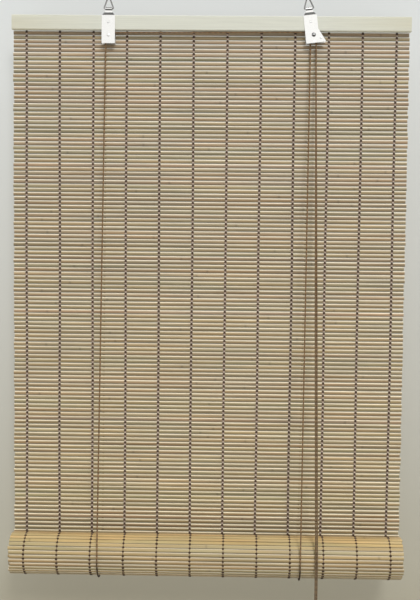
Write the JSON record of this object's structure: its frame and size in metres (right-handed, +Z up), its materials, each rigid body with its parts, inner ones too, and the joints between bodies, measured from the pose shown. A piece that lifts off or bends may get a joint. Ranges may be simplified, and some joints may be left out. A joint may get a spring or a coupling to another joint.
{
  "type": "bamboo roll-up blind",
  "caption": "Bamboo roll-up blind: woven slats hang from a wooden head rail, the lower part wound in a roll that lift cords raise to a cord lock.",
  "frame": {"origin": "hook seat inside the top of the left ring, where the blind hangs", "axes": "+X along the rail to the viewer's right, +Y away from the viewer towards the window, +Z up"},
  "size_m": [0.6, 0.0877, 1.0002],
  "materials": {
    "rail_wood": "pale sealed wood, matte",
    "bamboo": "split bamboo, matte",
    "warp_yarn": "dark brown twisted yarn",
    "batten_wood": "round bamboo stick, matte",
    "plated_sheet": "bright zinc-plated sheet",
    "ring_wire": "bright plated wire",
    "rivet_steel": "bright rivets, nails and staples",
    "cam_metal": "dull pressed metal",
    "pulley_plastic": "ivory plastic",
    "cord_braid": "brown braided cord",
    "knob_wood": "turned wood, satin"
  },
  "bodies": {
    "head": {"head_rail": "rail_wood", "slat_mat": "bamboo", "front_threads": "warp_yarn", "back_threads": "warp_yarn", "left_hanger": "plated_sheet", "lock_housing": "plated_sheet", "left_axle": "rivet_steel", "lock_axle": "rivet_steel", "hanger_nails": "rivet_steel", "cam_pin": "rivet_steel", "anvil_pin": "rivet_steel", "mat_staples": "rivet_steel", "cord_nails": "rivet_steel", "cord_loops": "cord_braid", "left_lift_back": "cord_braid", "left_lift_front": "cord_braid", "right_lift_back": "cord_braid", "right_lift_front": "cord_braid", "cross_cord": "cord_braid", "right_cord_wrap": "cord_braid", "pull_cord_upper": "cord_braid"},
    "roll_carriage": {"left_lift_sling": "cord_braid", "right_lift_sling": "cord_braid", "pull_cord_lower": "cord_braid", "cord_hank": "cord_braid", "hank_tie": "cord_braid", "pull_knob": "knob_wood"},
    "roll": {"mat_roll": "bamboo", "roll_threads": "warp_yarn", "bottom_batten": "batten_wood"},
    "left_ring": {"left_ring": "ring_wire"},
    "right_ring": {"right_ring": "ring_wire"},
    "left_pulley": {"left_pulley": "pulley_plastic"},
    "lock_pulley": {"lock_pulley": "pulley_plastic"},
    "lock_cam": {"lock_cam": "cam_metal"}
  },
  "joints": [
    {"name": "roll_lift", "type": "slide", "parent": "head", "child": "roll_carriage", "axis": [0, 0, 1], "range_m": [0, 0.637], "deforming": ["slat_mat", "front_threads", "back_threads", "left_lift_back", "right_lift_back", "left_lift_front", "right_lift_front", "pull_cord_upper"]},
    {"name": "roll_turn", "type": "hinge", "parent": "roll_carriage", "child": "roll", "pos_m": [0.154, -0.0258, -0.8398], "axis": [1, 0, 0], "range_deg": [-1080, 0]},
    {"name": "left_ring_swing", "type": "hinge", "parent": "head", "child": "left_ring", "pos_m": [0, 0, -0.014], "axis": [1, 0, 0], "range_deg": [-80, 80]},
    {"name": "right_ring_swing", "type": "hinge", "parent": "head", "child": "right_ring", "pos_m": [0.30078, 0, -0.01218], "axis": [0.9925, 0, 0.1219], "range_deg": [-80, 80]},
    {"name": "left_pulley_spin", "type": "hinge", "parent": "head", "child": "left_pulley", "pos_m": [0, -0.00055, -0.054], "axis": [0, 1, 0], "continuous": true},
    {"name": "lock_pulley_spin", "type": "hinge", "parent": "head", "child": "lock_pulley", "pos_m": [0.30814, -0.00055, -0.05157], "axis": [0, 1, 0], "continuous": true},
    {"name": "lock_release", "type": "hinge", "parent": "head", "child": "lock_cam", "pos_m": [0.31882, -0.00055, -0.0557], "axis": [0, -1, 0], "range_deg": [0, 40]}
  ],
  "couplings": [
    {"joint": "roll_turn", "follows": "roll_lift", "rad_per_m": -29.591},
    {"joint": "left_pulley_spin", "follows": "roll_lift", "rad_per_m": 476.19},
    {"joint": "lock_pulley_spin", "follows": "roll_lift", "rad_per_m": 476.19}
  ]
}
